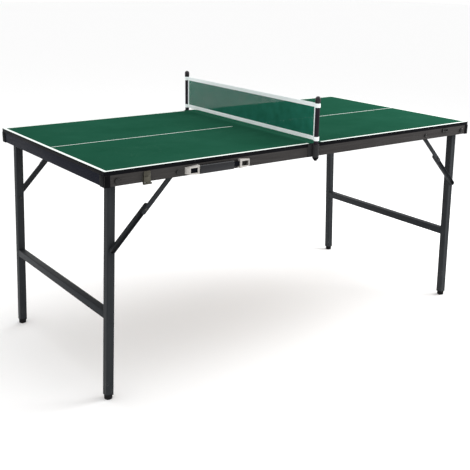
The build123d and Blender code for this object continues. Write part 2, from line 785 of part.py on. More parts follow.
def net_mesh():
    """The netting between the tapes, as a thin closed panel."""
    half = net_thickness / 2
    return block(-half, half, -side_tape_inner, side_tape_inner, panel_low, panel_high)


# ---------------------------------------------------------------- assembly
def write_both_halves(name, shapes):
    """Writes a group of left-half solids and its mirrored right-half twin."""
    write(f"left_{name}", *shapes)
    write(f"right_{name}", *[to_right(shape) for shape in shapes])


def screws_in(places):
    """Pan-head screws at the places given on the near apron."""
    return [pan_screw(inset_x, drop, end) for inset_x, drop, end in places]


def seam_screws():
    """The countersunk screws of both hinges' left leaves."""
    return [wood_screw(place) for y_centre in hinge_places for place in hinge_screw_places(y_centre)]


def main():
    os.makedirs("parts", exist_ok=True)

    write_both_halves("top_board", [top_board()])
    write_both_halves("edge_band", [edge_band()])
    write_both_halves("end_apron", [end_apron()])
    write_both_halves("mid_rail", [mid_rail()])
    write_both_halves("corner_caps", pair(corner_cap()))
    write("left_near_apron", side_apron(handle_screws + latch_screws + holder_screws))
    write("left_far_apron", to_far(side_apron(holder_screws)))
    plain_apron = side_apron([])
    write("right_near_apron", to_right(plain_apron))
    write("right_far_apron", to_right(to_far(plain_apron)))

    write("left_hinge_leaves", *[hinge_leaf(y, True) for y in hinge_places])
    write("right_hinge_leaves", *[to_right(hinge_leaf(y, False)) for y in hinge_places])
    write("hinge_pins", *[hinge_pin(y) for y in hinge_places])
    far_holder_screws = [to_far(screw) for screw in screws_in(holder_screws)]
    write("left_screws", *seam_screws(), *screws_in(handle_screws + latch_screws + holder_screws),
          *far_holder_screws)
    write("right_screws", *[to_right(screw) for screw in seam_screws()])

    for side, turn in (("near", lambda shape: shape), ("far", to_far)):
        write_both_halves(f"{side}_leg", [turn(leg())])
        write_both_halves(f"{side}_upper_brace", [turn(upper_brace())])
        write_both_halves(f"{side}_lower_brace", [turn(lower_brace())])
        write_both_halves(f"{side}_knee_rivet", [turn(knee_rivet())])
        write_both_halves(f"{side}_knee_stud", [turn(knee_stud())])
    write_both_halves("crossbar", [crossbar()])
    write_both_halves("feet", pair(foot()))
    write_both_halves("leg_rivets", pair(leg_rivet()))
    write_both_halves("leg_pivot_bolts", pair(leg_bolt()) + pair(leg_spacer()) + pair(leg_nut()))
    write_both_halves("brace_pivot_pins", pair(brace_pivot_pin()))

    write("handle_grip", handle_grip())
    write("handle_end_fittings", handle_fitting(-1), handle_fitting(1))
    write("latch_hasp", latch_hasp())
    write("latch_base", *latch_base())
    write("latch_keeper", latch_keeper())

    write("net_post_holders", *post_holders())
    write("net_holder_end_caps", *net_pair(holder_end_cap()))
    write("net_posts", *net_pair(net_post()))
    write("net_post_caps", *net_pair(net_post_cap()))
    write("net_tapes", net_turned(net_tape(net_low)), net_turned(net_tape(panel_high)), *net_pair(side_tape()))
    write("net_mesh", net_turned(net_mesh()))


main()
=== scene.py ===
from math import asin, cos, pi, radians, sin

import bpy
from mathutils import Matrix, Vector


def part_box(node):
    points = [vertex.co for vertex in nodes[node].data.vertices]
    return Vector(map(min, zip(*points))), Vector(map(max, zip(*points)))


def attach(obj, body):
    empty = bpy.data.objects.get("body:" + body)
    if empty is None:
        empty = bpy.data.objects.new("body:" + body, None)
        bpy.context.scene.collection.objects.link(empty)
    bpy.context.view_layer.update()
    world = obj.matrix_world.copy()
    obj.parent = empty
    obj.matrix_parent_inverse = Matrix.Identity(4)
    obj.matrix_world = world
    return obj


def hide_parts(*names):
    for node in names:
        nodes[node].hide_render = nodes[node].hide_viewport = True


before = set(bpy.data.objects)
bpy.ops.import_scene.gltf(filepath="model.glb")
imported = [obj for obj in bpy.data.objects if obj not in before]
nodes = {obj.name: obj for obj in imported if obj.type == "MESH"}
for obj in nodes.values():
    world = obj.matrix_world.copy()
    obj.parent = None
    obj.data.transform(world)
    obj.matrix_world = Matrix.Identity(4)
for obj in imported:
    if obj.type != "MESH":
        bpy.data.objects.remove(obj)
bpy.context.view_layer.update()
halves = ("left", "right")
sides = ("near", "far")


# ---------------------------------------------------------------- studio
# A pale floor under plain soft light: one large panel overhead, one off the near right corner
# and a white surround. The camera stands a little above the table, off its near left corner.
floor_shade = (0.97, 0.97, 0.97, 1)
camera_place = Vector((-1.7296, -2.3122, 1.2304))
camera_yaw = radians(36.144)
camera_pitch = radians(17.982)
camera_roll = radians(0.911)
lens_mm = 61.74
sensor_mm = 36.0


def aim_camera():
    """The table's camera, from its heading, its tilt below the horizon and its roll."""
    flat = cos(camera_pitch)
    ahead = Vector((sin(camera_yaw) * flat, cos(camera_yaw) * flat, -sin(camera_pitch)))
    level = Vector((cos(camera_yaw), -sin(camera_yaw), 0))
    above = level.cross(ahead)
    right = cos(camera_roll) * level + sin(camera_roll) * above
    up = cos(camera_roll) * above - sin(camera_roll) * level
    camera = bpy.data.objects.new("camera", bpy.data.cameras.new("camera"))
    camera.data.lens = lens_mm
    camera.data.sensor_width = sensor_mm
    turn = Matrix((right, up, -ahead)).transposed().to_4x4()
    camera.matrix_world = Matrix.Translation(camera_place) @ turn
    bpy.context.collection.objects.link(camera)
    bpy.context.scene.camera = camera


def soft_light(name, place, aim, size, power):
    """A large square light panel that faces a point."""
    lamp = bpy.data.objects.new(name, bpy.data.lights.new(name, "AREA"))
    lamp.data.size = size
    lamp.data.energy = power
    lamp.location = place
    lamp.rotation_euler = (Vector(aim) - Vector(place)).to_track_quat("-Z", "Y").to_euler()
    bpy.context.collection.objects.link(lamp)


def new_material(name, roughness, metallic=0.0, specular=0.2):
    """A Principled material with its nodes, for the finish of one kind of piece."""
    material = bpy.data.materials.new(name)
    material.use_nodes = True
    shader = material.node_tree.nodes["Principled BSDF"]
    shader.inputs["Roughness"].default_value = roughness
    shader.inputs["Metallic"].default_value = metallic
    shader.inputs["Specular IOR Level"].default_value = specular
    return material, material.node_tree, shader


aim_camera()
soft_light("overhead_panel", (0.6, 0.2, 3.2), (0, 0, 0.7), 3.0, 40)
soft_light("side_panel", (2.2, -0.9, 1.8), (0.5, 0, 0.7), 1.6, 42)
world = bpy.data.worlds.new("surround")
world.use_nodes = True
world.node_tree.nodes["Background"].inputs["Color"].default_value = (1, 1, 1, 1)
world.node_tree.nodes["Background"].inputs["Strength"].default_value = 1.0
bpy.context.scene.world = world
bpy.context.scene.view_settings.view_transform = "Standard"

bpy.ops.object.select_all(action="DESELECT")
bpy.ops.mesh.primitive_plane_add(size=60)
floor = bpy.context.object
floor.name = "floor"
floor_finish, _, floor_shader = new_material("pale_floor", 0.9, specular=0.1)
floor_shader.inputs["Base Color"].default_value = floor_shade
floor.data.materials.append(floor_finish)


# ---------------------------------------------------------------- top boards
# Fibreboard, rolled with green lacquer and lined in white by spray through a mask; the underside
# is bare. The long edge lines stop short of the seam, where the net posts stand.
line_width = 0.0102
centre_line_width = 0.0036
centre_line_start = 0.059
centre_line_end = 0.7475
edge_line_stop = 0.027
board_thickness = 0.012
board_green = (0.0095, 0.06, 0.0345, 1)
board_green_light = (0.0135, 0.073, 0.044, 1)
raw_board = (0.15, 0.095, 0.05, 1)
raw_board_light = (0.23, 0.155, 0.09, 1)
lacquer_wrap = 0.0008
line_white = (0.78, 0.84, 0.8, 1)


def add_node(tree, kind, **values):
    """A node with its settings, and its named inputs where a value is given for one."""
    node = tree.nodes.new(kind)
    for key, value in values.items():
        if key in node.inputs:
            node.inputs[key].default_value = value
        else:
            setattr(node, key, value)
    return node


def new_group(name, inputs, outputs):
    """An empty shader group with float, colour or vector sockets: (tree, input node, output node)."""
    tree = bpy.data.node_groups.new(name, "ShaderNodeTree")
    for label, kind in inputs:
        tree.interface.new_socket(label, in_out="INPUT", socket_type=f"NodeSocket{kind}")
    for label, kind in outputs:
        tree.interface.new_socket(label, in_out="OUTPUT", socket_type=f"NodeSocket{kind}")
    return tree, tree.nodes.new("NodeGroupInput"), tree.nodes.new("NodeGroupOutput")


def use_group(tree, group, **values):
    """A group placed in a material, with its own values. Spaces in socket names are underscores."""
    node = tree.nodes.new("ShaderNodeGroup")
    node.node_tree = group
    for key, value in values.items():
        node.inputs[key.replace("_", " ")].default_value = value
    return node


def math_node(tree, operation, first, second=None):
    """A Math node fed by sockets or plain numbers; returns its output."""
    node = add_node(tree, "ShaderNodeMath", operation=operation)
    for index, value in enumerate((first, second)):
        if value is None:
            continue
        if isinstance(value, (int, float)):
            node.inputs[index].default_value = value
        else:
            tree.links.new(value, node.inputs[index])
    return node.outputs[0]


def make_line_band():
    """1 inside a painted stripe about a coordinate and 0 outside, with a soft sprayed edge."""
    tree, given, result = new_group(
        "line_band", [("Position", "Float"), ("Centre", "Float"), ("Half Width", "Float")], [("Mask", "Float")]
    )
    away = math_node(tree, "SUBTRACT", given.outputs["Position"], given.outputs["Centre"])
    distance = math_node(tree, "ABSOLUTE", away)
    inside = math_node(tree, "SUBTRACT", given.outputs["Half Width"], distance)
    edge = add_node(tree, "ShaderNodeMapRange", interpolation_type="SMOOTHSTEP")
    edge.inputs["From Min"].default_value = -0.0003
    edge.inputs["From Max"].default_value = 0.0003
    tree.links.new(inside, edge.inputs["Value"])
    tree.links.new(edge.outputs["Result"], result.inputs["Mask"])
    return tree


def make_drift():
    """Slow change between two colours over a surface, and the value that drives it."""
    tree, given, result = new_group(
        "colour_drift",
        [("Vector", "Vector"), ("Scale", "Float"), ("Low", "Color"), ("High", "Color")],
        [("Color", "Color"), ("Value", "Float")],
    )
    noise = add_node(tree, "ShaderNodeTexNoise", Detail=5.0, Roughness=0.6)
    spread = add_node(tree, "ShaderNodeMapRange")
    spread.inputs["From Min"].default_value = 0.32
    spread.inputs["From Max"].default_value = 0.68
    mix = add_node(tree, "ShaderNodeMix", data_type="RGBA")
    tree.links.new(given.outputs["Vector"], noise.inputs["Vector"])
    tree.links.new(given.outputs["Scale"], noise.inputs["Scale"])
    tree.links.new(noise.outputs["Fac"], spread.inputs["Value"])
    tree.links.new(spread.outputs["Result"], mix.inputs["Factor"])
    tree.links.new(given.outputs["Low"], mix.inputs["A"])
    tree.links.new(given.outputs["High"], mix.inputs["B"])
    tree.links.new(mix.outputs["Result"], result.inputs["Color"])
    tree.links.new(spread.outputs["Result"], result.inputs["Value"])
    return tree


def make_grain():
    """Fine surface height, from a soft noise and a sharper one at four times its scale."""
    tree, given, result = new_group(
        "fine_grain", [("Vector", "Vector"), ("Scale", "Float")], [("Height", "Float")]
    )
    coarse = add_node(tree, "ShaderNodeTexNoise", Detail=2.0)
    fine = add_node(tree, "ShaderNodeTexNoise", Detail=3.0)
    finer = math_node(tree, "MULTIPLY", given.outputs["Scale"], 4.0)
    tree.links.new(given.outputs["Vector"], coarse.inputs["Vector"])
    tree.links.new(given.outputs["Vector"], fine.inputs["Vector"])
    tree.links.new(given.outputs["Scale"], coarse.inputs["Scale"])
    tree.links.new(finer, fine.inputs["Scale"])
    small = math_node(tree, "MULTIPLY", fine.outputs["Fac"], 0.4)
    both = math_node(tree, "ADD", coarse.outputs["Fac"], small)
    tree.links.new(both, result.inputs["Height"])
    return tree


def make_scuffs():
    """Sparse thin scratches, 1 on a scratch and 0 elsewhere, gathered into worn patches."""
    tree, given, result = new_group(
        "scuffs", [("Vector", "Vector"), ("Scale", "Float"), ("Amount", "Float")], [("Mask", "Float")]
    )
    patch = add_node(tree, "ShaderNodeTexNoise", Detail=2.0)
    fine = add_node(tree, "ShaderNodeTexNoise", Detail=4.0, Distortion=0.6)
    finer = math_node(tree, "MULTIPLY", given.outputs["Scale"], 6.0)
    tree.links.new(given.outputs["Vector"], patch.inputs["Vector"])
    tree.links.new(given.outputs["Scale"], patch.inputs["Scale"])
    tree.links.new(given.outputs["Vector"], fine.inputs["Vector"])
    tree.links.new(finer, fine.inputs["Scale"])
    away = math_node(tree, "ABSOLUTE", math_node(tree, "SUBTRACT", fine.outputs["Fac"], 0.5))
    thin = math_node(tree, "LESS_THAN", away, 0.006)
    where = add_node(tree, "ShaderNodeMapRange")
    where.inputs["From Min"].default_value = 0.52
    where.inputs["From Max"].default_value = 0.66
    tree.links.new(patch.outputs["Fac"], where.inputs["Value"])
    worn = math_node(tree, "MULTIPLY", thin, where.outputs["Result"])
    tree.links.new(math_node(tree, "MULTIPLY", worn, given.outputs["Amount"]), result.inputs["Mask"])
    return tree


line_band = make_line_band()
colour_drift = make_drift()
fine_grain = make_grain()
scuffs = make_scuffs()


def add_bump(tree, shader, height, distance, strength=1.0):
    """A Bump node from a height socket to the shader's normal."""
    bump = add_node(tree, "ShaderNodeBump", Strength=strength, Distance=distance)
    tree.links.new(height, bump.inputs["Height"])
    tree.links.new(bump.outputs["Normal"], shader.inputs["Normal"])


def board_finish():
    """Green lacquer with the white lines, the rolled texture and the rubs of play."""
    material, tree, shader = new_material("green_lacquer", 0.5, specular=0.0)
    place = add_node(tree, "ShaderNodeTexCoord").outputs["Object"]
    wobble = add_node(tree, "ShaderNodeTexNoise", Scale=900.0, Detail=2.0)
    tree.links.new(place, wobble.inputs["Vector"])
    stray = math_node(tree, "MULTIPLY", math_node(tree, "SUBTRACT", wobble.outputs["Fac"], 0.5), 0.0006)
    axes = add_node(tree, "ShaderNodeSeparateXYZ")
    tree.links.new(place, axes.inputs["Vector"])
    along = math_node(tree, "ADD", math_node(tree, "ABSOLUTE", axes.outputs["X"]), stray)
    across = math_node(tree, "ADD", math_node(tree, "ABSOLUTE", axes.outputs["Y"]), stray)
    board_low, board_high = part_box("right_top_board")

    def stripe(position, start, end):
        band = use_group(tree, line_band, Centre=(start + end) / 2, Half_Width=(end - start) / 2)
        tree.links.new(position, band.inputs["Position"])
        return band.outputs["Mask"]

    edge_line = stripe(across, board_high.y - line_width, board_high.y + line_width)
    clear_of_posts = stripe(along, edge_line_stop, 1.0)
    end_line = stripe(along, board_high.x - line_width, board_high.x + line_width)
    middle = stripe(across, -centre_line_width / 2, centre_line_width / 2)
    middle_run = stripe(along, centre_line_start, centre_line_end)
    long_lines = math_node(tree, "MULTIPLY", edge_line, clear_of_posts)
    centre_line = math_node(tree, "MULTIPLY", middle, middle_run)
    painted = math_node(tree, "MAXIMUM", math_node(tree, "MAXIMUM", long_lines, end_line), centre_line)
    top_only = math_node(tree, "GREATER_THAN", axes.outputs["Z"], board_high.z - board_thickness / 4)
    lines = math_node(tree, "MULTIPLY", painted, top_only)

    green = use_group(tree, colour_drift, Scale=5.0, Low=board_green, High=board_green_light)
    tree.links.new(place, green.inputs["Vector"])
    rubs = use_group(tree, scuffs, Scale=9.0, Amount=0.16)
    tree.links.new(place, rubs.inputs["Vector"])
    rubbed = add_node(tree, "ShaderNodeMix", data_type="RGBA", B=(0.1, 0.19, 0.14, 1))
    tree.links.new(rubs.outputs["Mask"], rubbed.inputs["Factor"])
    tree.links.new(green.outputs["Color"], rubbed.inputs["A"])
    lined = add_node(tree, "ShaderNodeMix", data_type="RGBA", B=line_white)
    tree.links.new(lines, lined.inputs["Factor"])
    tree.links.new(rubbed.outputs["Result"], lined.inputs["A"])
    raw = use_group(tree, colour_drift, Scale=420.0, Low=raw_board, High=raw_board_light)
    tree.links.new(place, raw.inputs["Vector"])
    backed = add_node(tree, "ShaderNodeMix", data_type="RGBA")
    underside = math_node(tree, "LESS_THAN", axes.outputs["Z"], board_low.z + lacquer_wrap)
    tree.links.new(underside, backed.inputs["Factor"])
    tree.links.new(lined.outputs["Result"], backed.inputs["A"])
    tree.links.new(raw.outputs["Color"], backed.inputs["B"])
    tree.links.new(backed.outputs["Result"], shader.inputs["Base Color"])

    sheen = add_node(tree, "ShaderNodeMapRange")
    sheen.inputs["To Min"].default_value = 0.46
    sheen.inputs["To Max"].default_value = 0.6
    tree.links.new(green.outputs["Value"], sheen.inputs["Value"])
    tree.links.new(sheen.outputs["Result"], shader.inputs["Roughness"])
    peel = use_group(tree, fine_grain, Scale=700.0)
    tree.links.new(place, peel.inputs["Vector"])
    raised = math_node(tree, "ADD", peel.outputs["Height"], math_node(tree, "MULTIPLY", lines, 1.5))
    add_bump(tree, shader, raised, 0.00004)
    return material


def finish_mesh(piece, bevel_width, segments=2, sharp_above=radians(35)):
    """Rounds a piece's edges and smooths its shading."""
    select_only(piece)
    bevel = piece.modifiers.new("rounding", "BEVEL")
    bevel.width = bevel_width
    bevel.segments = segments
    bevel.limit_method = "ANGLE"
    bevel.angle_limit = sharp_above
    bpy.ops.object.modifier_apply(modifier=bevel.name)
    bpy.ops.object.shade_smooth_by_angle(angle=radians(40))


def select_only(piece):
    """Makes a piece the only one selected, and active."""
    bpy.ops.object.select_all(action="DESELECT")
    piece.select_set(True)
    bpy.context.view_layer.objects.active = piece


def dress(piece, body, material):
    """Gives a piece its one material and its body."""
    piece.data.materials.clear()
    piece.data.materials.append(material)
    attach(piece, body)


def rounded_copy(node, bevel_width, segments=2):
    """A piece with the shape of a CAD node, merged to whole faces, with its edges rounded."""
    piece = bpy.data.objects.new(f"{node}_piece", nodes[node].data.copy())
    bpy.context.collection.objects.link(piece)
    select_only(piece)
    bpy.ops.object.mode_set(mode="EDIT")
    bpy.ops.mesh.select_all(action="SELECT")
    bpy.ops.mesh.remove_doubles(threshold=0.000004)
    bpy.ops.mesh.dissolve_limited(angle_limit=radians(0.5))
    bpy.ops.object.mode_set(mode="OBJECT")
    finish_mesh(piece, bevel_width, segments)
    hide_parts(node)
    return piece


green_lacquer = board_finish()
for half in halves:
    board = rounded_copy(f"{half}_top_board", 0.0004)
    dress(board, f"{half}_half", green_lacquer)


# ---------------------------------------------------------------- edge bands
# A black plastic strip glued round all four edges of each board, its corners eased by the
# trimming cutter. It is a little shinier than the lacquer beside it.
def moulded_black(name, shade, roughness, grain_scale, grain_height, wear=0.1, specular=0.02):
    """Black plastic with a fine moulded grain, slow changes of sheen and a few pale scratches."""
    material, tree, shader = new_material(name, roughness, specular=specular)
    place = add_node(tree, "ShaderNodeTexCoord").outputs["Object"]
    light = tuple(1.5 * channel for channel in shade[:3]) + (1,)
    tone = use_group(tree, colour_drift, Scale=14.0, Low=shade, High=light)
    marks = use_group(tree, scuffs, Scale=22.0, Amount=wear)
    grain = use_group(tree, fine_grain, Scale=grain_scale)
    for group in (tone, marks, grain):
        tree.links.new(place, group.inputs["Vector"])
    marked = add_node(tree, "ShaderNodeMix", data_type="RGBA", B=(0.22, 0.22, 0.22, 1))
    tree.links.new(marks.outputs["Mask"], marked.inputs["Factor"])
    tree.links.new(tone.outputs["Color"], marked.inputs["A"])
    tree.links.new(marked.outputs["Result"], shader.inputs["Base Color"])
    sheen = add_node(tree, "ShaderNodeMapRange")
    sheen.inputs["To Min"].default_value = roughness - 0.06
    sheen.inputs["To Max"].default_value = roughness + 0.08
    tree.links.new(tone.outputs["Value"], sheen.inputs["Value"])
    tree.links.new(sheen.outputs["Result"], shader.inputs["Roughness"])
    add_bump(tree, shader, grain.outputs["Height"], grain_height)
    return material


band_black = moulded_black("edge_band_plastic", (0.004, 0.004, 0.0052, 1), 0.4, 800.0, 0.00002)
for half in halves:
    band = rounded_copy(f"{half}_edge_band", 0.0005)
    dress(band, f"{half}_half", band_black)


# ---------------------------------------------------------------- aprons and mid rails
# Fibreboard strips wrapped in dark grey foil with a faint grain along their length, glued and
# pinned under the boards. The mid rails meet at the seam and are let in for the hinges.
def foil_finish(name, grain_axis, shade, light):
    """Dark grey foil: long soft grain along one axis, rubbed a little on its faces."""
    material, tree, shader = new_material(name, 0.5, specular=0.03)
    place = add_node(tree, "ShaderNodeTexCoord").outputs["Object"]
    stretch = add_node(tree, "ShaderNodeMapping")
    stretch.inputs["Scale"].default_value = tuple(1.0 if axis == grain_axis else 26.0 for axis in range(3))
    tree.links.new(place, stretch.inputs["Vector"])
    tone = use_group(tree, colour_drift, Scale=9.0, Low=shade, High=light)
    tree.links.new(stretch.outputs["Vector"], tone.inputs["Vector"])
    marks = use_group(tree, scuffs, Scale=16.0, Amount=0.12)
    grain = use_group(tree, fine_grain, Scale=60.0)
    tree.links.new(place, marks.inputs["Vector"])
    tree.links.new(stretch.outputs["Vector"], grain.inputs["Vector"])
    marked = add_node(tree, "ShaderNodeMix", data_type="RGBA", B=(0.2, 0.19, 0.18, 1))
    tree.links.new(marks.outputs["Mask"], marked.inputs["Factor"])
    tree.links.new(tone.outputs["Color"], marked.inputs["A"])
    tree.links.new(marked.outputs["Result"], shader.inputs["Base Color"])
    sheen = add_node(tree, "ShaderNodeMapRange")
    sheen.inputs["To Min"].default_value = 0.44
    sheen.inputs["To Max"].default_value = 0.58
    tree.links.new(tone.outputs["Value"], sheen.inputs["Value"])
    tree.links.new(sheen.outputs["Result"], shader.inputs["Roughness"])
    add_bump(tree, shader, grain.outputs["Height"], 0.00006)
    return material


foil_along = foil_finish("foil_grain_along_table", 0, (0.037, 0.0345, 0.034, 1), (0.05, 0.047, 0.046, 1))
# The end aprons and mid rails take a darker, bluer copy of the same foil, which is painted shade.
foil_across_painted_shade = foil_finish("foil_grain_across_table_painted_shade", 1, (0.0085, 0.0095, 0.0155, 1), (0.0125, 0.014, 0.0215, 1))
for half in halves:
    for name, foil in (("near_apron", foil_along), ("far_apron", foil_along), ("end_apron", foil_across_painted_shade)):
        apron = rounded_copy(f"{half}_{name}", 0.0007)
        dress(apron, f"{half}_half", foil)
    rail = rounded_copy(f"{half}_mid_rail", 0.0004)
    dress(rail, f"{half}_half", foil_across_painted_shade)


# ---------------------------------------------------------------- corner caps
# Moulded black plastic guards, screwed from below over the outer corners of the frame. Each
# wraps the corner and turns under it.
cap_black = moulded_black("corner_cap_plastic", (0.0035, 0.0035, 0.004, 1), 0.42, 1100.0, 0.00005)
for half in halves:
    caps = rounded_copy(f"{half}_corner_caps", 0.0006)
    dress(caps, f"{half}_half", cap_black)


# ---------------------------------------------------------------- steel hinges and fasteners
# Zinc-plated steel: butt hinges let into the mid rails, countersunk and pan-head screws, pivot
# bolts, pins and rivets. The bolt heads that show on the aprons are blackened.
def plated_finish(name, shade, bright, roughness):
    """Plated steel with cloudy patches and a fine turned or rolled surface."""
    material, tree, shader = new_material(name, roughness, 1.0)
    place = add_node(tree, "ShaderNodeTexCoord").outputs["Object"]
    tone = use_group(tree, colour_drift, Scale=90.0, Low=shade, High=bright)
    grain = use_group(tree, fine_grain, Scale=1500.0)
    marks = use_group(tree, scuffs, Scale=60.0, Amount=0.5)
    for group in (tone, grain, marks):
        tree.links.new(place, group.inputs["Vector"])
    marked = add_node(tree, "ShaderNodeMix", data_type="RGBA", B=(0.7, 0.68, 0.64, 1))
    tree.links.new(marks.outputs["Mask"], marked.inputs["Factor"])
    tree.links.new(tone.outputs["Color"], marked.inputs["A"])
    tree.links.new(marked.outputs["Result"], shader.inputs["Base Color"])
    rough = add_node(tree, "ShaderNodeMapRange")
    rough.inputs["To Min"].default_value = roughness - 0.08
    rough.inputs["To Max"].default_value = roughness + 0.1
    tree.links.new(tone.outputs["Value"], rough.inputs["Value"])
    tree.links.new(rough.outputs["Result"], shader.inputs["Roughness"])
    add_bump(tree, shader, grain.outputs["Height"], 0.00002)
    return material


zinc = plated_finish("zinc_plate", (0.38, 0.375, 0.36, 1), (0.52, 0.51, 0.48, 1), 0.36)
blackened = plated_finish("blackened_steel", (0.03, 0.03, 0.031, 1), (0.045, 0.044, 0.043, 1), 0.42)
for half in halves:
    for name in ("hinge_leaves", "screws"):
        piece = rounded_copy(f"{half}_{name}", 0.0002)
        dress(piece, f"{half}_half", zinc)
    for name in ("leg_pivot_bolts", "brace_pivot_pins"):
        piece = rounded_copy(f"{half}_{name}", 0.0003)
        dress(piece, f"{half}_half", blackened)
    piece = rounded_copy(f"{half}_leg_rivets", 0.0004)
    dress(piece, f"{half}_legs", blackened)
pins = rounded_copy("hinge_pins", 0.0004)
dress(pins, "left_half", zinc)


# ---------------------------------------------------------------- leg frames
# Square steel tube, welded into an H, in a fine dark grey powder coat that is rubbed near the
# floor. Moulded feet plug the lower ends.
def powder_coat(name, shade, light):
    """Satin powder coat: fine orange peel, slow changes of tone, and rubs close to the floor."""
    material, tree, shader = new_material(name, 0.46, specular=0.06)
    place = add_node(tree, "ShaderNodeTexCoord").outputs["Object"]
    axes = add_node(tree, "ShaderNodeSeparateXYZ")
    tree.links.new(place, axes.inputs["Vector"])
    tone = use_group(tree, colour_drift, Scale=7.0, Low=shade, High=light)
    peel = use_group(tree, fine_grain, Scale=1300.0)
    marks = use_group(tree, scuffs, Scale=26.0, Amount=0.9)
    for group in (tone, peel, marks):
        tree.links.new(place, group.inputs["Vector"])
    low = add_node(tree, "ShaderNodeMapRange")
    low.inputs["From Min"].default_value = 0.16
    low.inputs["From Max"].default_value = 0.02
    low.inputs["To Min"].default_value = 0.12
    low.inputs["To Max"].default_value = 0.7
    tree.links.new(axes.outputs["Z"], low.inputs["Value"])
    worn = math_node(tree, "MULTIPLY", marks.outputs["Mask"], low.outputs["Result"])
    marked = add_node(tree, "ShaderNodeMix", data_type="RGBA", B=(0.24, 0.24, 0.24, 1))
    tree.links.new(worn, marked.inputs["Factor"])
    tree.links.new(tone.outputs["Color"], marked.inputs["A"])
    tree.links.new(marked.outputs["Result"], shader.inputs["Base Color"])
    sheen = add_node(tree, "ShaderNodeMapRange")
    sheen.inputs["To Min"].default_value = 0.4
    sheen.inputs["To Max"].default_value = 0.54
    tree.links.new(tone.outputs["Value"], sheen.inputs["Value"])
    tree.links.new(sheen.outputs["Result"], shader.inputs["Roughness"])
    add_bump(tree, shader, peel.outputs["Height"], 0.00005)
    return material


grey_coat = powder_coat("grey_powder_coat", (0.021, 0.0235, 0.0265, 1), (0.028, 0.031, 0.034, 1))
foot_black = moulded_black("foot_plastic", (0.01, 0.01, 0.0105, 1), 0.5, 900.0, 0.00006, wear=0.3)
for half in halves:
    for name in ("near_leg", "far_leg", "crossbar"):
        tube = rounded_copy(f"{half}_{name}", 0.0003)
        dress(tube, f"{half}_legs", grey_coat)
    feet = rounded_copy(f"{half}_feet", 0.0005)
    dress(feet, f"{half}_legs", foot_black)


# ---------------------------------------------------------------- braces
# A flat steel bar and a folded steel channel beside each leg, in the same powder coat, joined
# at the knee by a rivet.
for half in halves:
    for side in sides:
        arms = (("upper", "upper_brace", "knee_rivet"), ("lower", "lower_brace", "knee_stud"))
        for arm, steel, rivet in arms:
            bar = rounded_copy(f"{half}_{side}_{steel}", 0.0004)
            dress(bar, f"{half}_{side}_{arm}_arm", grey_coat)
            head = rounded_copy(f"{half}_{side}_{rivet}", 0.0004)
            dress(head, f"{half}_{side}_{arm}_arm", blackened)


# ---------------------------------------------------------------- carrying handle
# A smooth black moulded grip that bows outwards a little, its tabs held in two slotted silver
# end fittings. The fittings are die cast, lacquered and screwed from inside the apron.
def silver_finish():
    """Silver lacquer on a die casting: warm grey, with fine flake and a soft sheen."""
    material, tree, shader = new_material("silver_lacquer", 0.4, 0.35)
    place = add_node(tree, "ShaderNodeTexCoord").outputs["Object"]
    tone = use_group(tree, colour_drift, Scale=160.0, Low=(0.42, 0.4, 0.375, 1), High=(0.56, 0.54, 0.51, 1))
    grain = use_group(tree, fine_grain, Scale=2200.0)
    for group in (tone, grain):
        tree.links.new(place, group.inputs["Vector"])
    tree.links.new(tone.outputs["Color"], shader.inputs["Base Color"])
    add_bump(tree, shader, grain.outputs["Height"], 0.00002)
    return material


silver = silver_finish()
grip_low, grip_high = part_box("handle_grip")


held_length = 0.1216
grip_gloss = 0.7
grip_gloss_roughness = 0.2


def grip_finish():
    """Black plastic, glossy on the held length and matt on the tabs."""
    material = moulded_black("grip_plastic", (0.0035, 0.0038, 0.006, 1), 0.4, 500.0, 0.00001, wear=0.05)
    tree = material.node_tree
    shader = tree.nodes["Principled BSDF"]
    axes = add_node(tree, "ShaderNodeSeparateXYZ")
    tree.links.new(add_node(tree, "ShaderNodeTexCoord").outputs["Object"], axes.inputs["Vector"])
    middle = (grip_low.x + grip_high.x) / 2
    away = math_node(tree, "ABSOLUTE", math_node(tree, "SUBTRACT", axes.outputs["X"], middle))
    held = math_node(tree, "LESS_THAN", away, held_length / 2)
    tree.links.new(math_node(tree, "MULTIPLY", held, grip_gloss), shader.inputs["Coat Weight"])
    shader.inputs["Coat Roughness"].default_value = grip_gloss_roughness
    return material
grip_black = grip_finish()
fittings = rounded_copy("handle_end_fittings", 0.0008, 3)
dress(fittings, "left_half", silver)
grip = rounded_copy("handle_grip", 0.0006, 2)
dress(grip, "handle", grip_black)


# ---------------------------------------------------------------- latch
# Pressed steel, grey-beige plated: a base plate with a rolled barrel, a strap with a tongue
# that turns on a pin, and a slotted catch on the other half.
latch_plate = plated_finish("latch_plate", (0.06, 0.057, 0.046, 1), (0.1, 0.095, 0.076, 1), 0.4)
for name, body in (("latch_base", "left_half"), ("latch_hasp", "latch"), ("latch_keeper", "right_half")):
    part = rounded_copy(name, 0.0003)
    dress(part, body, latch_plate if name != "latch_keeper" else blackened)


# ---------------------------------------------------------------- net posts
# Black coated steel tube under domed plastic caps, standing in sockets that are screwed to one
# half. Tapered plugs close the sockets.
dome_black = moulded_black("post_cap_plastic", (0.012, 0.009, 0.012, 1), 0.36, 900.0, 0.00003, specular=0.3)
post_coat = powder_coat("black_powder_coat", (0.017, 0.0125, 0.018, 1), (0.024, 0.018, 0.026, 1))
socket_coat = powder_coat("socket_powder_coat", (0.024, 0.024, 0.025, 1), (0.031, 0.031, 0.032, 1))
for name, body, coat, slot in (
    ("net_post_holders", "left_half", socket_coat, "post_black"),
    ("net_holder_end_caps", "left_half", cap_black, "black_plastic"),
    ("net_posts", "net", post_coat, "post_black"),
    ("net_post_caps", "net", dome_black, "black_plastic"),
):
    part = rounded_copy(name, 0.0003)
    dress(part, body, coat)


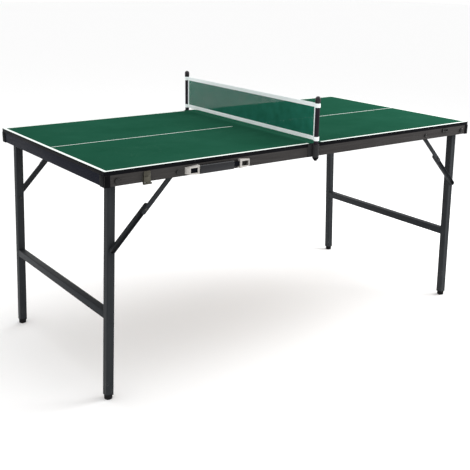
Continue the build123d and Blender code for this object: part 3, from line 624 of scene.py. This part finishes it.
# ---------------------------------------------------------------- net
# Green knotted nylon netting, stretched between the posts. It is bound all round with white
# woven tape, folded over and sewn, with a sleeve at each corner that slips over the post.
net_low, net_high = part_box("net_mesh")
net_pitch = 0.0036
net_hole = 0.00088
net_ripple = 0.0012
post_radius = 0.0075
post_low, post_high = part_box("net_posts")
near_post = Vector((post_low.x + post_radius, post_low.y + post_radius, 0))
far_post = Vector((post_high.x - post_radius, post_high.y - post_radius, 0))
net_turn = asin((near_post.x - far_post.x) / (far_post.y - near_post.y))


def thread_finish():
    """Green twisted nylon, slightly shiny and a little uneven in colour."""
    material, tree, shader = new_material("green_nylon", 0.6, specular=0.05)
    place = add_node(tree, "ShaderNodeTexCoord").outputs["Object"]
    tone = use_group(tree, colour_drift, Scale=30.0, Low=(0.008, 0.105, 0.066, 1), High=(0.014, 0.14, 0.095, 1))
    twist = use_group(tree, fine_grain, Scale=2600.0)
    for group in (tone, twist):
        tree.links.new(place, group.inputs["Vector"])
    tree.links.new(tone.outputs["Color"], shader.inputs["Base Color"])
    add_bump(tree, shader, twist.outputs["Height"], 0.00008)
    return material


def settle(piece):
    """Ripples a piece of the net a little, then turns it with the net about the far post."""
    select_only(piece)
    clouds = bpy.data.textures.new(f"{piece.name}_ripple", "CLOUDS")
    clouds.noise_scale = 0.1
    wave = piece.modifiers.new("ripple", "DISPLACE")
    wave.texture = clouds
    wave.texture_coords = "LOCAL"
    wave.direction = "X"
    wave.strength = net_ripple
    bpy.ops.object.modifier_apply(modifier=wave.name)
    piece.rotation_euler.z = net_turn
    piece.location = far_post - Matrix.Rotation(net_turn, 3, "Z") @ far_post
    bpy.ops.object.transform_apply(location=True, rotation=True, scale=True)


def upright_cloth(name, y0, y1, z0, z1, columns, rows):
    """A sheet in the plane of the net, divided into a grid."""
    bpy.ops.object.select_all(action="DESELECT")
    bpy.ops.mesh.primitive_grid_add(x_subdivisions=columns, y_subdivisions=rows, size=1)
    piece = bpy.context.object
    piece.name = name
    piece.rotation_euler = (pi / 2, 0, pi / 2)
    piece.scale = (y1 - y0, z1 - z0, 1)
    piece.location = (0, (y0 + y1) / 2, (z0 + z1) / 2)
    bpy.ops.object.transform_apply(location=True, rotation=True, scale=True)
    return piece


netting = upright_cloth("netting", net_low.y, net_high.y, net_low.z, net_high.z,
                        round((net_high.y - net_low.y) / net_pitch), round((net_high.z - net_low.z) / net_pitch))
bpy.ops.object.mode_set(mode="EDIT")
bpy.ops.mesh.select_mode(type="FACE")
bpy.ops.mesh.select_all(action="SELECT")
bpy.ops.mesh.inset(thickness=(net_pitch - net_hole) / 2, use_individual=True)
bpy.ops.mesh.delete(type="FACE")
bpy.ops.object.mode_set(mode="OBJECT")
settle(netting)
bpy.ops.object.shade_smooth()
dress(netting, "net", thread_finish())
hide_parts("net_mesh")


# ---------------------------------------------------------------- net tapes
# White woven tape, folded over the edge of the netting and sewn through with a lockstitch.
# The sleeves are the same tape, wrapped round the posts.
def tape_finish():
    """White woven tape: fine over-and-under weave, slightly greyed by handling."""
    material, tree, shader = new_material("white_tape", 0.8, specular=0.1)
    place = add_node(tree, "ShaderNodeTexCoord").outputs["Object"]
    axes = add_node(tree, "ShaderNodeSeparateXYZ")
    tree.links.new(place, axes.inputs["Vector"])
    threads = 2400.0
    ways = []
    for axis in ("Y", "Z"):
        ways.append(math_node(tree, "SINE", math_node(tree, "MULTIPLY", axes.outputs[axis], threads)))
    weave = math_node(tree, "MULTIPLY", ways[0], ways[1])
    tone = use_group(tree, colour_drift, Scale=18.0, Low=(0.86, 0.92, 0.92, 1), High=(0.93, 0.97, 0.97, 1))
    tree.links.new(place, tone.inputs["Vector"])
    tree.links.new(tone.outputs["Color"], shader.inputs["Base Color"])
    add_bump(tree, shader, weave, 0.0001)
    return material


tape_low, tape_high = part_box("net_tapes")
tape_height = 0.0132
tape_thickness = 0.0014
white_tape = tape_finish()


def sewn_tape(name, y0, y1, z0, z1):
    """A length of folded tape in the plane of the net, with soft folded edges."""
    tape = upright_cloth(name, y0, y1, z0, z1, max(4, round((y1 - y0) / 0.004)), max(4, round((z1 - z0) / 0.004)))
    settle(tape)
    thick = tape.modifiers.new("two_layers", "SOLIDIFY")
    thick.thickness = tape_thickness
    thick.offset = 0
    bpy.ops.object.modifier_apply(modifier=thick.name)
    finish_mesh(tape, tape_thickness * 0.3, 3, radians(60))
    dress(tape, "net", white_tape)
    return tape


def post_sleeve(name, post, z0):
    """The wrap of tape round a post."""
    bpy.ops.object.select_all(action="DESELECT")
    bpy.ops.mesh.primitive_cylinder_add(vertices=48, radius=post_radius + 0.0001, depth=tape_height,
                                        end_fill_type="NOTHING", location=(post.x, post.y, z0 + tape_height / 2))
    sleeve = bpy.context.object
    sleeve.name = name
    bpy.ops.object.transform_apply(location=True, rotation=True, scale=True)
    wall = sleeve.modifiers.new("cloth", "SOLIDIFY")
    wall.thickness = tape_thickness
    wall.offset = 1
    bpy.ops.object.modifier_apply(modifier=wall.name)
    finish_mesh(sleeve, tape_thickness * 0.3, 3, radians(60))
    dress(sleeve, "net", white_tape)


def stitch_row(name, face, z):
    """A row of lockstitches through a tape, seen on one of its faces."""
    bpy.ops.object.select_all(action="DESELECT")
    bpy.ops.mesh.primitive_cylinder_add(vertices=8, radius=0.0003, depth=0.0027, rotation=(pi / 2, 0, 0),
                                        location=(face * (tape_thickness / 2 + 0.0001), stitch_pitch - reach, z))
    row = bpy.context.object
    row.name = name
    bpy.ops.object.transform_apply(location=True, rotation=True, scale=True)
    finish_mesh(row, 0.00018)
    repeat = row.modifiers.new("stitches", "ARRAY")
    repeat.use_relative_offset = False
    repeat.use_constant_offset = True
    repeat.constant_offset_displace = (0, stitch_pitch, 0)
    repeat.count = round(2 * reach / stitch_pitch) - 1
    bpy.ops.object.modifier_apply(modifier=repeat.name)
    settle(row)
    dress(row, "net", white_tape)


reach = far_post.y - post_radius
stitch_pitch = 0.0042
stitch_margin = 0.0018
for name, low in (("top_tape", tape_high.z - tape_height), ("bottom_tape", tape_low.z)):
    sewn_tape(name, -reach, reach, low, low + tape_height)
    for side, post in (("near", near_post), ("far", far_post)):
        post_sleeve(f"{name}_{side}_sleeve", post, low)
sewn_tape("near_side_tape", -reach, net_low.y + 0.0005, net_low.z, net_high.z)
sewn_tape("far_side_tape", net_high.y - 0.0005, reach, net_low.z, net_high.z)
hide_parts("net_tapes")
for face, side in ((-1, "left"), (1, "right")):
    stitch_row(f"top_stitches_{side}", face, net_high.z + stitch_margin)
    stitch_row(f"bottom_stitches_{side}", face, net_low.z - stitch_margin)
